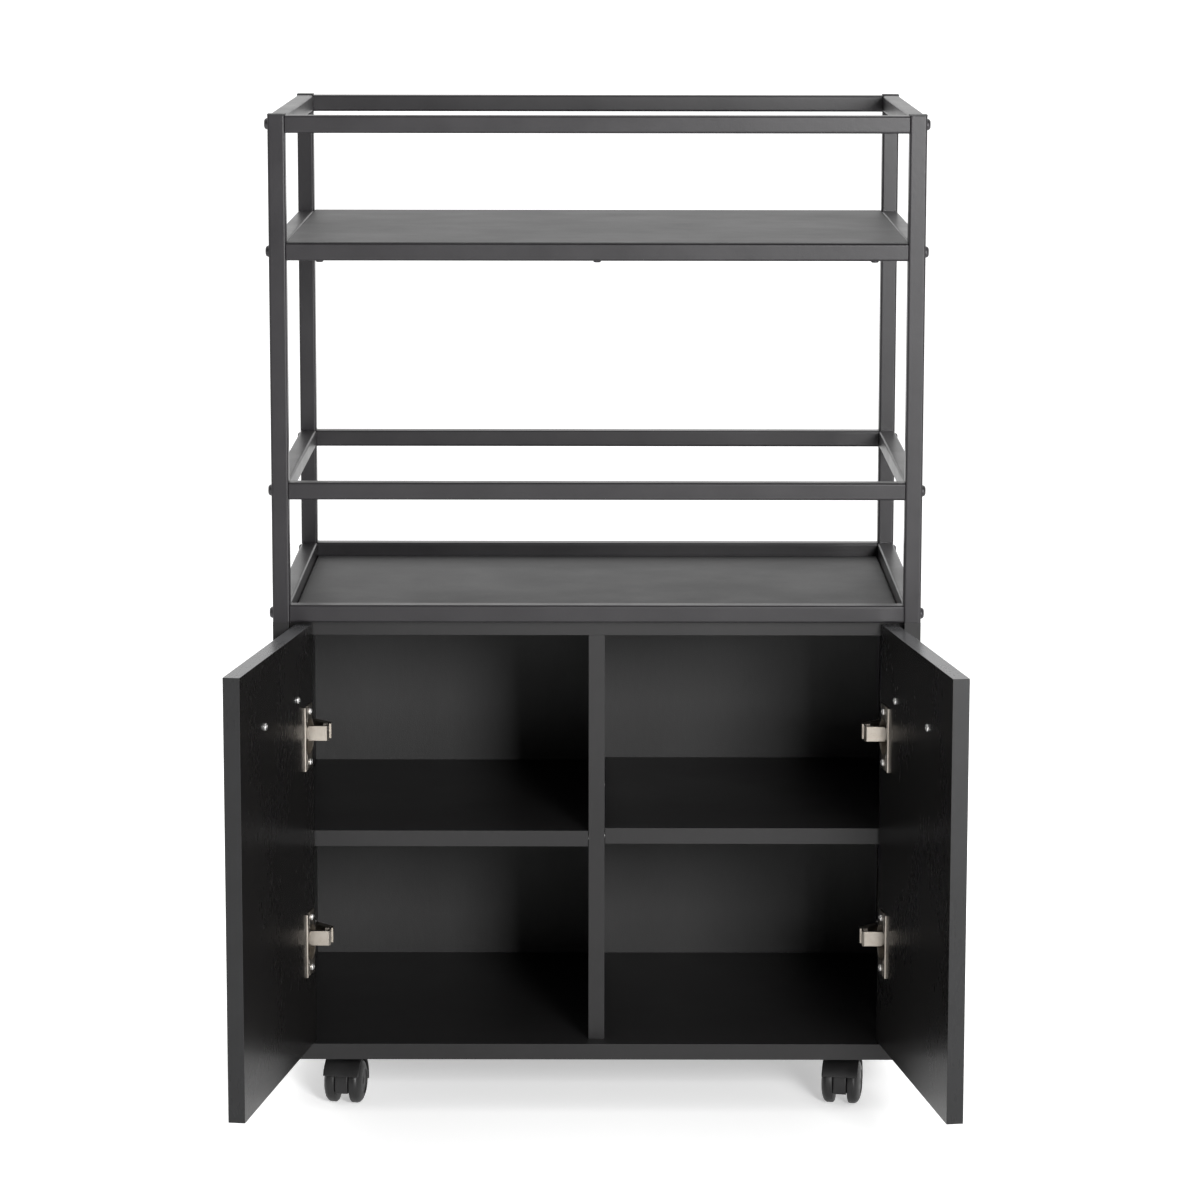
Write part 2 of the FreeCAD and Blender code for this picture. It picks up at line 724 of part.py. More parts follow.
# The arm in plan, with the pin at the origin, x into the cabinet and y towards its back.
NOSE_FRONT, NOSE_BACK = "-0.3", "1.3"
NOSE_BEND_X, NOSE_END_X = "23.4", "25"
CRANK_Y = "12.2"
NOSE = [("0", NOSE_FRONT), ("23", NOSE_FRONT), (NOSE_END_X, "1.7"), (NOSE_END_X, "13"),
        (NOSE_BEND_X, "13"), (NOSE_BEND_X, "2.4"), ("22.3", NOSE_BACK), ("0", NOSE_BACK)]
CHANNEL = [("19", CRANK_Y), ("26.5", CRANK_Y), ("26.5", "20"), ("6", "42"), ("6", "74"),
           ("-2.5", "74"), ("-2.5", "43"), ("19", "18.5")]
CHANNEL_INSIDE = [("17", f"{CRANK_Y} + arm_steel"), ("26.5 - arm_steel", f"{CRANK_Y} + arm_steel"),
                  ("26.5 - arm_steel", "19.5"), ("6 - arm_steel", "41.5"),
                  ("6 - arm_steel", "74 - arm_steel"), ("-4", "74 - arm_steel"),
                  ("-4", "42.5"), ("17", "18")]


def hinge_arm(name):
    """A pressed steel arm: an eye on the pin, a nose into the cup, a crank and a channel."""
    nose = prism(f"{name}_nose", NOSE, "arm_half_height")
    relief = box(f"{name}_relief", ("9", "6", "4"), ("-3", "-3", "nose_half_height"))
    relief_low = box(f"{name}_relief_low", ("9", "6", "4"), ("-3", "-3", "-nose_half_height - 4"))
    nose_cut = cut(f"{name}_nose_cut", nose, [relief, relief_low])
    knuckle = rod(f"{name}_knuckle", "knuckle_radius", "2 * nose_half_height",
                  ("0", "0", "-nose_half_height"))
    channel = prism(f"{name}_channel", CHANNEL, "arm_half_height")
    hollow = prism(f"{name}_hollow", CHANNEL_INSIDE, "arm_half_height - arm_steel")
    pressed = cut(f"{name}_pressed", channel, [hollow])
    solid = join(f"{name}_solid", [nose_cut, knuckle, pressed])
    eye = rod(f"{name}_eye", "pin_radius + fit", "2 * arm_half_height",
              ("0", "0", "-arm_half_height"))
    screw_hole = rod(f"{name}_screw_hole", "small_screw_radius + fit", "arm_steel + 2",
                     ("5 - arm_steel", "64", "0"), "x")
    return cut(name, solid, [eye, screw_hole])


def hinge_plate(name):
    """A mounting plate with the same origin as the arm: wings on the side, a block under it."""
    face = "-hinge_in"
    start = "plate_front - hinge_back"
    wings = box(f"{name}_wings", ("plate_thick", "plate_length", "plate_height"),
                (face, start, "-plate_height / 2"))
    block = box(f"{name}_block", ("plate_block", "30", "2 * (arm_half_height - arm_steel) - 0.6"),
                (f"{face} + plate_thick", f"{start} - 1", "-(arm_half_height - arm_steel) + 0.3"))
    rest = box(f"{name}_rest", ("7.2", "24", "8"), ("-3", f"{start} + 2", "-4"))
    holes = [rod(f"{name}_hole_{i}", "small_screw_radius + fit", "plate_thick + 2",
                 (f"{face} - 1", f"{start} + plate_length / 2", z), "x")
             for i, z in enumerate(("-16", "16"))]
    holes.append(rod(f"{name}_thread", "small_screw_radius + fit", "9", ("-4.5", "64", "0"), "x"))
    return cut(name, join(f"{name}_solid", [wings, block, rest]), holes)


def hinge_hardware():
    arms, plates = [], []
    for side, sign in SIDES.items():
        for end, z in HINGE_Z.items():
            at = (f"{sign} * {PIN_X}", PIN_Y, z)
            for store, builder, kind in ((arms, hinge_arm, "arm"), (plates, hinge_plate, "plate")):
                piece = builder(f"hinge_{kind}_{side}_{end}")
                if sign == RIGHT:
                    piece = other_side(f"hinge_{kind}_{side}_{end}_twin", piece)
                store.append(put(piece, at))
    node("hinge_arms", group("hinge_arms_group", arms))
    node("hinge_plates", group("hinge_plates_group", plates))


def mounting_screws():
    """Small pan-head screws: two for each hinge plate, one for each arm, four for each caster."""
    screws = []
    for side, sign in SIDES.items():
        inward = "x" if sign == LEFT else "-x"
        outward = "-x" if sign == LEFT else "x"
        for end, z in HINGE_Z.items():
            for i, dz in enumerate(("-16", "16")):
                at = (f"{sign} * ({INSIDE_X} - plate_thick)", PLATE_SCREW_Y, f"{z} + {dz}")
                screws.append(pan_screw(f"plate_screw_{side}_{end}_{i}", at, outward,
                                        "small_screw_radius", "small_screw_length"))
            at = (f"{sign} * ({PIN_X} - 6)", f"{PIN_Y} + 64", z)
            screws.append(pan_screw(f"arm_screw_{side}_{end}", at, outward,
                                    "small_screw_radius", "8"))
    for i, (x, y) in enumerate(caster_screw_points()):
        screws.append(pan_screw(f"caster_screw_{i}", (x, y, "caster_height - caster_plate_thick"),
                                "z", "small_screw_radius", "small_screw_length"))
    node("mounting_screws", group("mounting_screws_group", screws))


# ---------------------------------------------------------------- doors

# A door is drawn shut, about its hinge pin: x along the leaf, y towards the cabinet's back.
LEAF = "(width / 2 - board - 1.5 * door_gap)"
LEAF_HEIGHT = f"({CABINET_TOP} - door_head_gap - {FLOOR_TOP} - door_foot_gap)"
LEAF_EDGE = "(door_gap - hinge_in)"
LEAF_FRONT = "(-hinge_back)"
LEAF_BACK = "(board - hinge_back)"
LEAF_FOOT = f"({FLOOR_TOP} + door_foot_gap)"
CUP_X = f"({LEAF_EDGE} + cup_edge + cup_radius)"
HANDLE_X = f"({LEAF_EDGE} + handle_from_hinge)"
HANDLE_Z = f"({LEAF_FOOT} + {LEAF_HEIGHT} - handle_drop)"
HANDLE_ENDS = {"near": f"{HANDLE_X} - handle_centres / 2", "far": f"{HANDLE_X} + handle_centres / 2"}


def door_leaf(name):
    body = make("PartDesign::Body", f"{name}_body")
    outline = sketch_in(body, "XY_Plane", f"{name}_outline")
    polygon(outline, [(LEAF_EDGE, LEAF_FRONT), (f"{LEAF_EDGE} + {LEAF}", LEAF_FRONT),
                      (f"{LEAF_EDGE} + {LEAF}", LEAF_BACK), (LEAF_EDGE, LEAF_BACK)])
    leaf = pad(body, f"{name}_leaf", outline, LEAF_HEIGHT)
    doc.recompute()
    corner = Vector(number(LEAF_EDGE), number(LEAF_FRONT), 0)
    edges = [f"Edge{i}" for i, edge in enumerate(leaf.Shape.Edges, start=1)
             if abs(edge.tangentAt(edge.FirstParameter).z) > 0.9
             and math.hypot(edge.CenterOfMass.x - corner.x, edge.CenterOfMass.y - corner.y) < 0.01]
    eased = body.newObject("PartDesign::Fillet", f"{name}_eased")
    eased.Base = (leaf, edges)
    bind(eased, Radius="door_edge_radius")
    body.Tip = eased
    put(body, ("0", "0", LEAF_FOOT))
    tools = []
    for end, z in HINGE_Z.items():
        tools.append(rod(f"{name}_cup_hole_{end}", "cup_radius + fit", "cup_depth + 0.1 + 1",
                         (CUP_X, f"{LEAF_BACK} + 1", z), "-y"))
        for i, dz in enumerate(("-cup_screw_spread", "cup_screw_spread")):
            tools.append(rod(f"{name}_cup_screw_hole_{end}_{i}", "small_screw_radius + fit",
                             "cup_screw_length", (CUP_X, LEAF_BACK, f"{z} + {dz}"), "-y"))
    for end, x in HANDLE_ENDS.items():
        tools.append(rod(f"{name}_handle_hole_{end}", "handle_screw_radius + fit", "board + 2",
                         (x, f"{LEAF_FRONT} - 1", HANDLE_Z), "y"))
    return cut(name, body, tools)


def hinge_cup(name):
    """A pressed cup with wings on the door and two ears that hold the pin."""
    outer = rod(f"{name}_outer", "cup_radius", "cup_depth", (CUP_X, LEAF_BACK, "0"), "-y")
    lip = rod(f"{name}_lip", "cup_radius + cup_lip", "cup_flange", (CUP_X, LEAF_BACK, "0"), "y")
    wings = box(f"{name}_wings", ("wing_width", "cup_flange", "wing_length"),
                (f"{CUP_X} - wing_width / 2", LEAF_BACK, "-wing_length / 2"))
    shell = join(f"{name}_shell", [outer, lip, wings])
    bowl = rod(f"{name}_bowl", "cup_radius - cup_wall", "cup_depth - cup_wall + cup_flange",
               (CUP_X, f"{LEAF_BACK} + cup_flange", "0"), "-y")
    holes = [bowl]
    for i, dz in enumerate(("-cup_screw_spread", "cup_screw_spread")):
        holes.append(rod(f"{name}_hole_{i}", "small_screw_radius + fit", "cup_flange + 2",
                         (CUP_X, f"{LEAF_BACK} - 1", dz), "y"))
    pressed = cut(f"{name}_pressed", shell, holes)
    floor = f"({LEAF_BACK} - cup_depth + cup_wall)"
    ears = []
    for i, low in enumerate(("ear_inner", "-ear_outer")):
        ears.append(box(f"{name}_ear_{i}", ("5.4", f"2.3 - {floor} + 0.2", "ear_outer - ear_inner"),
                        ("-2.2", f"{floor} - 0.2", low)))
    eye = rod(f"{name}_eye", "pin_radius + fit", "2 * pin_half_length", ("0", "0", "-pin_half_length"))
    body = cut(f"{name}_body", join(f"{name}_eared", [pressed] + ears), [eye])
    pin = rod(f"{name}_pin", "pin_radius", "2 * pin_half_length", ("0", "0", "-pin_half_length"))
    return group(name, [body, pin])


def handle(name):
    """A slim bar on two round posts, drawn with the door shut."""
    bar = box(f"{name}_bar", ("handle_length", "handle_bar", "handle_height"),
              (f"{HANDLE_X} - handle_length / 2", f"{LEAF_FRONT} - handle_proud",
               f"{HANDLE_Z} - handle_height / 2"))
    doc.recompute()
    soft = make("Part::Fillet", f"{name}_soft")
    soft.Base = bar
    soft.Edges = [(i, 1.5, 1.5) for i in range(1, len(bar.Shape.Edges) + 1)]
    posts = [rod(f"{name}_post_{end}", "handle_post_radius", "handle_proud - handle_bar + 1",
                 (x, LEAF_FRONT, HANDLE_Z), "-y") for end, x in HANDLE_ENDS.items()]
    threads = [rod(f"{name}_thread_{end}", "handle_screw_radius + fit", "handle_screw_bite + 0.5",
                   (x, LEAF_FRONT, HANDLE_Z), "-y") for end, x in HANDLE_ENDS.items()]
    return cut(name, join(f"{name}_solid", [soft] + posts), threads)


def door_screws(name):
    screws = []
    for end, z in HINGE_Z.items():
        for i, dz in enumerate(("-cup_screw_spread", "cup_screw_spread")):
            screws.append(pan_screw(f"{name}_cup_{end}_{i}",
                                    (CUP_X, f"{LEAF_BACK} + cup_flange", f"{z} + {dz}"), "-y",
                                    "small_screw_radius", "cup_screw_length"))
    for end, x in HANDLE_ENDS.items():
        screws.append(pan_screw(f"{name}_handle_{end}", (x, LEAF_BACK, HANDLE_Z), "-y",
                                "handle_screw_radius", "board + handle_screw_bite"))
    return group(name, screws)


def hang(label, piece, sign):
    """Swing a piece of a door open about the hinge pin, on the cabinet's left or right."""
    if sign == RIGHT:
        piece = other_side(f"{label}_twin", piece)
    angle = sign * DIMENSIONS["door_open"]
    node(label, piece, (f"{sign} * {PIN_X}", PIN_Y, "0"), Rotation(Vector(0, 0, 1), angle))


def doors():
    for side, sign in SIDES.items():
        hang(f"door_{side}", door_leaf(f"leaf_{side}"), sign)
        cups = []
        for end, z in HINGE_Z.items():
            cups.append(put(hinge_cup(f"cup_{side}_{end}"), ("0", "0", z)))
        hang(f"hinge_cups_{side}", group(f"cups_{side}", cups), sign)
        hang(f"door_screws_{side}", door_screws(f"screws_{side}"), sign)
        hang(f"handle_{side}", handle(f"bar_handle_{side}"), sign)


# ---------------------------------------------------------------- casters

CASTER_X = f"({HALF_X} - caster_inset_side)"
CASTER_Y = {"front": "(front_y + caster_inset_end)", "back": "(front_y + depth - caster_inset_end)"}
AXLE_Y = "(-caster_trail)"


def caster_screw_points():
    """Where the screws of all four caster plates go."""
    for y in CASTER_Y.values():
        for sign in SIDES.values():
            for dx in ("-caster_screw_spread", "caster_screw_spread"):
                for dy in ("-caster_screw_spread", "caster_screw_spread"):
                    yield f"{sign} * {CASTER_X} + {dx}", f"{y} + {dy}"


def caster_plates():
    """Square plates under the cabinet, each with a swivel pin riveted into it."""
    plates = []
    under = "(caster_height - caster_plate_thick)"
    for end, y in CASTER_Y.items():
        for side, sign in SIDES.items():
            name = f"caster_plate_{end}_{side}"
            x = f"{sign} * {CASTER_X}"
            plate = box(f"{name}_sheet", ("caster_plate", "caster_plate", "caster_plate_thick"),
                        (f"{x} - caster_plate / 2", f"{y} - caster_plate / 2", under))
            collar = rod(f"{name}_collar", "swivel_radius + 5", "2.5", (x, y, under), "-z")
            pin = rod(f"{name}_pin", "swivel_radius", "swivel_length", (x, y, under), "-z")
            holes = [rod(f"{name}_hole_{i}", "small_screw_radius + fit", "caster_plate_thick + 2",
                         (f"{x} + {dx}", f"{y} + {dy}", f"{under} - 1"))
                     for i, (dx, dy) in enumerate((a, b)
                                                  for a in ("-caster_screw_spread", "caster_screw_spread")
                                                  for b in ("-caster_screw_spread", "caster_screw_spread"))]
            plates.append(cut(name, join(f"{name}_solid", [plate, collar, pin]), holes))
    node("caster_plates", group("caster_plates_group", plates))


HOOD_INNER = "(wheel_radius + hood_gap)"
HOOD_OUTER = "(wheel_radius + hood_gap + hood_thick)"


def drum(name, radius, half_width):
    """A cylinder about the axle, centred between the wheels."""
    return rod(name, radius, f"2 * ({half_width})", (f"-({half_width})", AXLE_Y, "wheel_radius"), "x")


def caster_fork(name):
    """A web between the wheels, a hood over them, a swivel socket and the axle."""
    hood = cut(f"{name}_hood_ring", drum(f"{name}_hood_outer", HOOD_OUTER, "hood_half_width"),
               [drum(f"{name}_hood_inner", HOOD_INNER, "hood_half_width + 1")])
    cover = box(f"{name}_cover", ("2 * hood_half_width + 2", "60", "40"),
                ("-hood_half_width - 1", f"{AXLE_Y} - hood_front", "wheel_radius - 4"))
    brow = box(f"{name}_brow", ("2 * hood_half_width + 2", "60", "40"),
               ("-hood_half_width - 1", f"{AXLE_Y} - 30", "wheel_radius + hood_brow"))
    cover = join(f"{name}_cover_and_brow", [cover, brow])
    hood_top = common(f"{name}_hood", [hood, cover])
    rim = common(f"{name}_rim", [drum(f"{name}_rim_disc", f"{HOOD_INNER} + 1", "web_half"), cover])
    disc = drum(f"{name}_disc", "web_radius", "web_half")
    trim = box(f"{name}_trim", ("2 * web_half", "60", "60"),
               ("-web_half", f"{AXLE_Y} - 30", "web_foot"))
    web = common(f"{name}_web", [disc, trim])
    top = "(caster_height - caster_plate_thick - 2.5 - swivel_gap)"
    socket = box(f"{name}_socket", ("2 * web_half", "14", f"{top} - wheel_radius"),
                 ("-web_half", "-7", "wheel_radius"))
    solid = join(f"{name}_solid", [hood_top, rim, web, socket])
    bore = rod(f"{name}_bore", "swivel_radius + fit", "swivel_length + 2",
               ("0", "0", f"{top} + 3"), "-z")
    axle_hole = drum(f"{name}_axle_hole", "axle_radius + fit", "web_half + 1")
    shell = cut(f"{name}_shell", solid, [bore, axle_hole])
    axle = drum(f"{name}_axle", "axle_radius", "axle_half_length")
    return group(name, [shell, axle])


def caster_wheel(name, sign):
    """A moulded wheel with a domed outer face and a blind bore, drawn on one side of the web."""
    body = make("PartDesign::Body", f"{name}_body")
    section = sketch_in(body, "XY_Plane", f"{name}_section")
    bore = "axle_radius + fit"
    tread = "wheel_radius"
    polygon(section, [(bore, "wheel_inner"), (f"{tread} - 3", "wheel_inner"),
                      (f"{tread} - 0.8", "wheel_inner + 0.9"), (tread, "wheel_inner + 2.5"),
                      (tread, "wheel_outer - 5.4"), (f"{tread} - 0.7", "wheel_outer - 3.7"),
                      (f"{tread} - 2.4", "wheel_outer - 2"), (f"{tread} - 5", "wheel_outer - 0.8"),
                      (f"{tread} - 8.2", "wheel_outer"), (f"{tread} - 9.4", "wheel_outer"),
                      (f"{tread} - 9.8", "wheel_outer - 0.6"), ("0", "wheel_outer - 0.6"),
                      ("0", "axle_half_length + 0.2"), (bore, "axle_half_length + 0.2")])
    turned = body.newObject("PartDesign::Revolution", f"{name}_turned")
    turned.Profile = section
    turned.ReferenceAxis = (section, ["V_Axis"])
    turned.Angle = 360
    body.Tip = turned
    # The section is turned about local Y, which then points along the axle.
    return put(body, ("0", "0", "0"), Rotation(Vector(0, 0, 1), -90 * sign))


def casters():
    caster_plates()
    turn = Rotation(Vector(0, 0, 1), DIMENSIONS["caster_turn"])
    for end, y in CASTER_Y.items():
        for side, sign in SIDES.items():
            at = (f"{sign} * {CASTER_X}", y, "0")
            name = f"caster_{end}_{side}"
            node(f"{name}_fork", caster_fork(f"{name}_fork_built"), at, turn)
            for wheel, hand in SIDES.items():
                label = f"{name}_{wheel}_wheel"
                built = caster_wheel(f"{label}_built", hand)
                put(built, ("0", AXLE_Y, "wheel_radius"), built.Placement.Rotation)
                node(label, group(f"{label}_placed", [built]), at, turn)


# ---------------------------------------------------------------- the cart

def check_and_export():
    doc.recompute()
    for thing in doc.Objects:
        if "Invalid" in thing.State or "Error" in thing.State:
            raise RuntimeError(f"{thing.Label} did not compute: {thing.State}")
    for thing in NODES:
        if thing.Shape.isNull() or not thing.Shape.isValid() or not thing.Shape.Solids:
            raise RuntimeError(f"{thing.Label} has no valid solid")
    os.makedirs("parts", exist_ok=True)
    for thing in NODES:
        thing.Shape.exportStep(f"parts/{thing.Label}.step")
        print(f"{thing.Label}: {len(thing.Shape.Solids)} solid(s), "
              f"{thing.Shape.Volume / 1000:.2f} cm3")


frame()
cabinet()
hinge_hardware()
mounting_screws()
doors()
casters()
check_and_export()
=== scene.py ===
import json
import math

import bmesh
import bpy
import numpy as np
from mathutils import Matrix, Vector


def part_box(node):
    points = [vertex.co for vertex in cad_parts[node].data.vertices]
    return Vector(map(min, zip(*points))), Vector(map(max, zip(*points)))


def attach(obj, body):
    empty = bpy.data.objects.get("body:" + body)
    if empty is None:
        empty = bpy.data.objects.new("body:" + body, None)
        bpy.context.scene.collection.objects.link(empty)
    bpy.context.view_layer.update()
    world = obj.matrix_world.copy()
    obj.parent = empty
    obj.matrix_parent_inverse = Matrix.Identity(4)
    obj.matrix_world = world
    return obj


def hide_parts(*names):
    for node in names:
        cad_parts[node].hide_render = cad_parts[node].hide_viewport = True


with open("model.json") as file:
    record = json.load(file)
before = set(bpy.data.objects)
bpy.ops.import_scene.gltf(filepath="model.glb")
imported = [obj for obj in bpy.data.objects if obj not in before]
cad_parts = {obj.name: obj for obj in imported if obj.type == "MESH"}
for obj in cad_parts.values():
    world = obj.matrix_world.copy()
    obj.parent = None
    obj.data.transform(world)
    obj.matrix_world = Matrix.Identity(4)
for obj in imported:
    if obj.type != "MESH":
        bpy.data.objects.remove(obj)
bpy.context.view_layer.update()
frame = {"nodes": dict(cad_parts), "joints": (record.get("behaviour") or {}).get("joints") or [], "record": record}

NODES = frame["nodes"]
MM = 0.001
WELD = 1e-6                     # CAD meshes are split at their faces' edges, so they are welded


# ---------------------------------------------------------------- camera

LENS = 128.56                   # in mm, on a sensor 36 mm wide
PITCH, YAW, ROLL = 0.1651, 0.0009, 0.0012
CAMERA_X, CAMERA_AHEAD, CAMERA_HEIGHT = 0.0065, 3.9102, 1.1418


def link(obj):
    bpy.context.scene.collection.objects.link(obj)
    return obj


def place_camera():
    """A long lens in front of the cart, a little above the top rail, tilted down."""
    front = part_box("post_front_left")[0].y
    cam = link(bpy.data.objects.new("camera", bpy.data.cameras.new("camera")))
    cam.data.sensor_width = 36
    cam.data.lens = LENS
    cam.data.clip_end = 200
    turn = (Matrix.Rotation(YAW, 4, "Z") @ Matrix.Rotation(math.pi / 2 - PITCH, 4, "X")
            @ Matrix.Rotation(ROLL, 4, "Z"))
    at = (CAMERA_X, front - CAMERA_AHEAD, CAMERA_HEIGHT)
    cam.matrix_world = Matrix.Translation(at) @ turn
    bpy.context.scene.camera = cam


# ---------------------------------------------------------------- light and floor

LIGHTS = (                      # name, place, what it faces, size, power
    ("key", (1.05, -3.4, 1.3), (0.1, 0.0, 0.6), (0.7, 0.8), 125),
    ("low_fill", (1.75, -3.1, 0.4), (0.3, -0.3, 0.3), (0.5, 0.8), 24),
    ("overhead", (0.0, 1.2, 2.9), (0.0, 0.1, 0.6), (2.4, 1.4), 22))
SWEEP_TOWARDS = (0.1, 0.8, 0.6)     # the bright side of the room: behind the cart and overhead
SWEEP_EDGE = 0.6
ROOM_DIM, ROOM_BRIGHT = 0.12, 1.2
ROOM_WHITE = (1.0, 0.998, 0.995, 1)
FLOOR_GLOW = 0.42
FLOOR_HALF = 80.0


def add_light(name, at, aim, size, power):
    lamp = bpy.data.lights.new(name, "AREA")
    lamp.shape = "RECTANGLE"
    lamp.size, lamp.size_y = size
    lamp.energy = power
    obj = link(bpy.data.objects.new(name, lamp))
    obj.location = at
    obj.rotation_euler = (Vector(aim) - Vector(at)).to_track_quat("-Z", "Y").to_euler()
    obj.visible_camera = False


def light_the_studio():
    """A white sweep behind and overhead, a dim room in front, and soft lights to the right."""
    world = bpy.data.worlds.new("studio")
    bpy.context.scene.world = world
    world.use_nodes = True
    tree = world.node_tree
    place = tree.nodes.new("ShaderNodeTexCoord")
    behind = tree.nodes.new("ShaderNodeVectorMath")
    behind.operation = "DOT_PRODUCT"
    behind.inputs[1].default_value = SWEEP_TOWARDS
    ramp = tree.nodes.new("ShaderNodeMapRange")
    ramp.inputs["From Min"].default_value = -SWEEP_EDGE
    ramp.inputs["From Max"].default_value = SWEEP_EDGE
    ramp.inputs["To Min"].default_value = ROOM_DIM
    ramp.inputs["To Max"].default_value = ROOM_BRIGHT
    tree.links.new(place.outputs["Generated"], behind.inputs[0])
    tree.links.new(behind.outputs["Value"], ramp.inputs["Value"])
    tree.links.new(ramp.outputs[0], tree.nodes["Background"].inputs["Strength"])
    tree.nodes["Background"].inputs["Color"].default_value = ROOM_WHITE
    for light in LIGHTS:
        add_light(*light)
    bpy.context.scene.view_settings.view_transform = "Standard"


# ---------------------------------------------------------------- materials

NOISE_LOW, NOISE_HIGH = 0.3, 0.7    # where most of a noise's values lie
BEVEL_SAMPLES = 6


def scaled(colour, times):
    return [min(1, c * times) for c in colour]


class Shade:
    """A node-based material, with short names for the nodes it is made of."""

    def __init__(self, name, **constants):
        self.material = bpy.data.materials.new(name)
        self.material.use_nodes = True
        self.tree = self.material.node_tree
        self.shader = self.tree.nodes["Principled BSDF"]
        for socket, value in constants.items():
            self.shader.inputs[socket.replace("_", " ")].default_value = value
        self.place = self.make("ShaderNodeTexCoord").outputs["Object"]
        self.normal = None

    def make(self, kind, inputs=None, **settings):
        node = self.tree.nodes.new(kind)
        for key, value in settings.items():
            setattr(node, key, value)
        for key, value in (inputs or {}).items():
            if isinstance(value, bpy.types.NodeSocket):
                self.tree.links.new(value, node.inputs[key])
            else:
                node.inputs[key].default_value = value
        return node

    def noise(self, scale, detail=2.0, roughness=0.5, stretch=None):
        where = self.place
        if stretch:
            where = self.make("ShaderNodeMapping", {"Vector": where, "Scale": stretch}).outputs[0]
        return self.make("ShaderNodeTexNoise", {
            "Vector": where, "Scale": scale, "Detail": detail,
            "Roughness": roughness}).outputs["Fac"]

    def cells(self, scale):
        return self.make("ShaderNodeTexVoronoi",
                         {"Vector": self.place, "Scale": scale}).outputs["Distance"]

    def span(self, value, low, high, to_low=0.0, to_high=1.0):
        """A value carried from one range to another, and held inside it."""
        return self.make("ShaderNodeMapRange", {
            "Value": value, "From Min": low, "From Max": high,
            "To Min": to_low, "To Max": to_high}).outputs[0]

    def spread(self, noise, to_low=0.0, to_high=1.0):
        """A noise opened out to fill a range."""
        return self.span(noise, NOISE_LOW, NOISE_HIGH, to_low, to_high)

    def math(self, operation, a, b=0.0):
        return self.make("ShaderNodeMath", {0: a, 1: b}, operation=operation).outputs[0]

    def mix(self, share, a, b):
        """Two colours mixed. The Mix node's sockets 6 and 7 and output 2 are its colours."""
        a, b = (c if isinstance(c, bpy.types.NodeSocket) else (*c, 1.0) for c in (a, b))
        return self.make("ShaderNodeMix", {0: share, 6: a, 7: b}, data_type="RGBA").outputs[2]

    def edges(self, radius):
        """Close to 1 on the object's edges and corners, 0 on its flats. Also rounds them."""
        self.normal = self.make("ShaderNodeBevel", {"Radius": radius},
                                samples=BEVEL_SAMPLES).outputs[0]
        flat = self.make("ShaderNodeNewGeometry").outputs["Normal"]
        facing = self.make("ShaderNodeVectorMath", {0: self.normal, 1: flat},
                           operation="DOT_PRODUCT").outputs["Value"]
        return self.span(facing, 0.995, 0.75)

    def bump(self, height, distance, strength):
        inputs = {"Height": height, "Distance": distance, "Strength": strength}
        if self.normal is not None:
            inputs["Normal"] = self.normal
        self.normal = self.make("ShaderNodeBump", inputs).outputs[0]

    def finish(self, colour, roughness):
        links = self.tree.links
        links.new(colour, self.shader.inputs["Base Color"])
        links.new(roughness, self.shader.inputs["Roughness"])
        links.new(self.normal, self.shader.inputs["Normal"])
        return self.material


def powder_coat(name, dark, light, rough, grain=900.0):
    """Satin powder coat: orange peel, faint mottling, and edges painted paler, partly paint rubbed thin and partly
    a painted highlight.
    """
    s = Shade(name, Specular_IOR_Level=0.3)
    worn_and_highlit = s.edges(0.0007)
    mottle = s.noise(14.0, 4.0, 0.6)
    speck = s.noise(grain, 2.0, 0.6)
    colour = s.mix(s.spread(mottle), dark, light)
    rub_and_highlight = s.math("MULTIPLY", worn_and_highlit, s.span(s.noise(120.0, 3.0, 0.65), 0.42, 0.72))
    # Paler colour along the edges: partly paint rubbed thin, partly a painted highlight standing in for light
    # catching the edges.
    colour = s.mix(s.math("MULTIPLY", rub_and_highlight, 0.55), colour, scaled(light, 2.6))
    gloss = s.math("ADD", s.spread(mottle, *rough), s.spread(speck, -0.03, 0.03))
    s.bump(s.noise(grain, 1.0, 0.4), 0.00006, 0.5)
    s.bump(s.noise(grain * 0.22, 2.0, 0.5), 0.00012, 0.35)
    return s.finish(colour, gloss)


